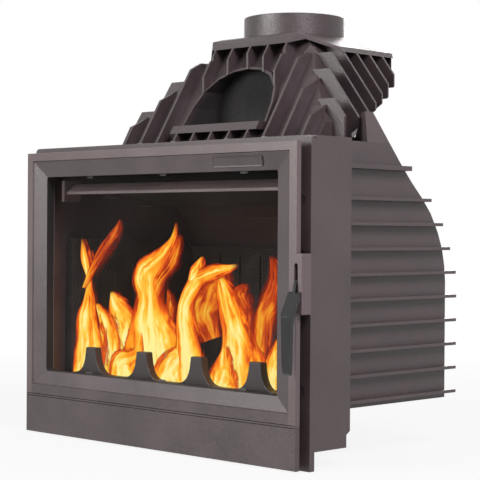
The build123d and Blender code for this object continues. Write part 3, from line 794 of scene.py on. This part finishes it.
# Each flame: how far behind the door's face it burns, and its marks in the enlarged crop, from the
# foot up, as (across, down, width)
FLAMES = {
    "left_curl": (0.062, [
        (95, 815, 105), (100, 700, 105), (128, 600, 80), (153, 520, 44), (150, 440, 18),
        (128, 350, 42), (118, 270, 8),
    ]),
    "left_branch": (0.066, [
        (150, 470, 11), (180, 390, 36), (228, 300, 50), (262, 240, 38), (271, 194, 5),
    ]),
    "left_low": (0.074, [
        (225, 825, 120), (240, 720, 95), (225, 620, 62), (195, 565, 33), (172, 535, 6),
    ]),
    "horn": (0.092, [
        (310, 835, 170), (305, 700, 140), (285, 600, 105), (255, 530, 60), (235, 485, 10),
    ]),
    "heart": (0.076, [
        (421, 845, 210), (416, 700, 190), (400, 600, 140), (392, 500, 90), (385, 420, 105),
        (450, 335, 56), (485, 270, 26), (494, 205, 4),
    ]),
    "heart_side": (0.084, [
        (421, 540, 40), (451, 440, 54), (490, 370, 42), (508, 310, 26), (512, 255, 4),
    ]),
    "spark": (0.110, [
        (490, 620, 50), (480, 540, 34), (463, 475, 5),
    ]),
    "swan": (0.064, [
        (575, 850, 110), (555, 700, 80), (541, 600, 61), (548, 520, 55), (590, 440, 63),
        (650, 408, 54), (700, 395, 28), (742, 377, 4),
    ]),
    "swan_tip": (0.070, [
        (585, 440, 44), (586, 395, 48), (602, 345, 6),
    ]),
    "veil": (0.112, [
        (660, 680, 80), (620, 580, 141), (640, 500, 150), (670, 440, 90), (660, 410, 20),
    ]),
    "broad": (0.078, [
        (770, 880, 180), (765, 760, 150), (745, 660, 100), (712, 560, 80), (684, 470, 57),
        (668, 425, 6),
    ]),
    "broad_side": (0.098, [
        (790, 760, 120), (780, 640, 110), (765, 540, 100), (752, 490, 70), (785, 455, 8),
    ]),
    "right_tall": (0.088, [
        (850, 850, 70), (850, 700, 76), (856, 600, 76), (880, 520, 89), (895, 440, 64),
        (890, 385, 56), (868, 340, 8),
    ]),
    "right_edge": (0.068, [
        (905, 880, 60), (900, 780, 66), (912, 700, 44), (928, 650, 6),
    ]),
    "low_a": (0.060, [
        (150, 830, 90), (150, 750, 80), (195, 690, 50), (206, 625, 5),
    ]),
    "low_b": (0.061, [
        (300, 845, 110), (295, 775, 90), (345, 730, 44), (354, 645, 5),
    ]),
    "low_c": (0.060, [
        (480, 865, 150), (490, 790, 110), (530, 720, 60), (546, 640, 6),
    ]),
    "low_d": (0.062, [
        (690, 880, 110), (688, 800, 80), (690, 700, 6),
    ]),
}
RED_FLAMES = ("left_branch", "heart_side", "spark", "veil", "broad_side", "right_tall")


class INSERT_OT_fire(bpy.types.Operator):
    """Lights a wood fire behind the glass, just behind the log retainer"""

    bl_idname = "insert.fire"
    bl_label = "Light the fire"

    def execute(self, context):
        strength = context.scene.insert_stage.fire
        hot = flame_gas("flame_gas", strength, 0.0)
        red = flame_gas("red_flame_gas", strength, 0.42)
        for name, (behind, marks) in FLAMES.items():
            depth = round(FRONT + behind, 4)
            gas = red if name in RED_FLAMES else hot
            flame("flame_" + name, depth, flame_line(depth, marks), gas)
        return {"FINISHED"}


FLOOR_Z = -0.0005
# Each lamp: its place, what it points at, its size and its colour
LAMPS = {
    "key": ((-1.0, -3.06, 1.35), (0.0, -0.1, 0.35), 1.7, (1.0, 0.985, 0.97)),
    "side": ((2.5, -0.9, 2.4), (0.25, 0.0, 0.40), 1.3, (1.0, 0.91, 1.0)),
    "back": ((-1.6, 3.0, 1.9), (0.0, 0.1, 0.40), 1.6, (1.0, 0.98, 0.98)),
}


class INSERT_OT_stage(bpy.types.Operator):
    """Sets the floor, lamps, surroundings and camera"""

    bl_idname = "insert.stage"
    bl_label = "Set the stage"

    def execute(self, context):
        scene = context.scene
        stage = scene.insert_stage
        size = stage.floor
        corners = [(x * size, y * size, FLOOR_Z) for x, y in ((-1, -1), (1, -1), (1, 1), (-1, 1))]
        floor = new_object("floor", corners, [(0, 1, 2, 3)], floor_paper())
        scene.world = white_surroundings(stage.world)
        for name, (place, target, width, colour) in LAMPS.items():
            add_lamp(name + "_lamp", place, target, width, getattr(stage, name), colour)
        set_camera(scene)
        scene.view_settings.view_transform = "Standard"
        return {"FINISHED"}


def seen_rays(net):
    """1 on rays from the camera, off gloss and through glass, and 0 on the ones that only carry light."""
    path = net.raw("ShaderNodeLightPath")
    rays = ("Is Camera Ray", "Is Glossy Ray", "Is Transmission Ray")
    camera, glossy, through = (Value(net, path.outputs[ray]) for ray in rays)
    return (camera + glossy + through).clamp()


def floor_paper():
    """White sweep that keeps a soft shadow near the object."""
    net = Net("floor_paper")
    x, y, _ = net.parts(net.point())
    far = (x * x + y * y).above(0.4, 5.0)
    factor = seen_rays(net) * (0.89 + 0.11 * far)
    matte = net.node("ShaderNodeBsdfDiffuse", {}, {"Color": (0.42, 0.42, 0.42)})
    white = net.node("ShaderNodeEmission", {}, {"Color": (1.0, 1.0, 1.0), "Strength": 1.0})
    return net.close(net.node("ShaderNodeMixShader", {}, {0: factor, 1: matte, 2: white}))


def white_surroundings(strength):
    """White to the camera, in reflections and through glass, plain light elsewhere."""
    net = Net("surroundings", "worlds")
    values = {"Value": seen_rays(net), "To Min": strength, "To Max": 1.0}
    level = net.node("ShaderNodeMapRange", {}, values)
    light = net.node("ShaderNodeBackground", {}, {"Color": (1.0, 1.0, 1.0), "Strength": level})
    return net.close(light, "ShaderNodeOutputWorld")


def add_lamp(name, place, target, size, power, colour):
    """A square lamp at a place, turned to its target."""
    lamp = bpy.data.lights.new(name, "AREA")
    lamp.shape = "SQUARE"
    lamp.size = size
    lamp.energy = power
    lamp.color = colour
    made = bpy.data.objects.new(name, lamp)
    bpy.context.scene.collection.objects.link(made)
    made.location = place
    made.rotation_mode = "QUATERNION"
    made.rotation_quaternion = (Vector(target) - Vector(place)).to_track_quat("-Z", "Y")


# The photograph's width in pixels, and the lens and sensor that fit its perspective
PHOTO_SIZE = 480
LENS = 113.79
SENSOR = 36.0


def camera_frame():
    """The camera's place, and its side, top and back directions, as fitted to the photograph."""
    azimuth = math.radians(44.432)
    elevation = math.radians(0.337)
    roll = math.radians(0.354)
    distance = 2.5165
    target = Vector((0.2231, FRONT, 0.3731))
    level = math.cos(elevation)
    back = Vector((math.sin(azimuth) * level, -math.cos(azimuth) * level, math.sin(elevation)))
    right = (-back).cross(Vector((0, 0, 1))).normalized()
    up = right.cross(-back)
    side = math.cos(roll) * right + math.sin(roll) * up
    top = -math.sin(roll) * right + math.cos(roll) * up
    return target + back * distance, side, top, back


def set_camera(scene):
    """The photograph's view: a long lens, almost level, 44 degrees round to the right."""
    place, side, top, back = camera_frame()
    camera = bpy.data.cameras.new("camera")
    camera.sensor_width = SENSOR
    camera.lens = LENS
    camera.clip_end = 200.0
    made = bpy.data.objects.new("camera", camera)
    scene.collection.objects.link(made)
    turn = Matrix((side, top, back)).transposed().to_4x4()
    made.matrix_world = Matrix.Translation(place) @ turn
    scene.camera = made


class INSERT_PT_panel(bpy.types.Panel):
    """Lists the insert's steps"""

    bl_label = "Fireplace insert"
    bl_idname = "INSERT_PT_panel"
    bl_space_type = "VIEW_3D"
    bl_region_type = "UI"
    bl_category = "Insert"

    def draw(self, context):
        layout = self.layout
        for group in (context.scene.insert_look, context.scene.insert_stage):
            for key in group.__annotations__:
                layout.prop(group, key)
        for step in STEPS:
            layout.operator(step.bl_idname)


STEPS = (
    INSERT_OT_stage,
    INSERT_OT_castings,
    INSERT_OT_hood,
    INSERT_OT_door,
    INSERT_OT_firebox,
    INSERT_OT_retainer,
    INSERT_OT_latch,
    INSERT_OT_plate,
    INSERT_OT_fire,
)
CLASSES = (InsertLook, StageLook) + STEPS + (INSERT_PT_panel,)


def register():
    for item in CLASSES:
        bpy.utils.register_class(item)
    bpy.types.Scene.insert_look = PointerProperty(type=InsertLook)
    bpy.types.Scene.insert_stage = PointerProperty(type=StageLook)


def unregister():
    del bpy.types.Scene.insert_stage
    del bpy.types.Scene.insert_look
    for item in reversed(CLASSES):
        bpy.utils.unregister_class(item)


def main():
    register()
    for step in STEPS:
        module, action = step.bl_idname.split(".")
        getattr(getattr(bpy.ops, module), action)()


if __name__ == "__main__":
    main()
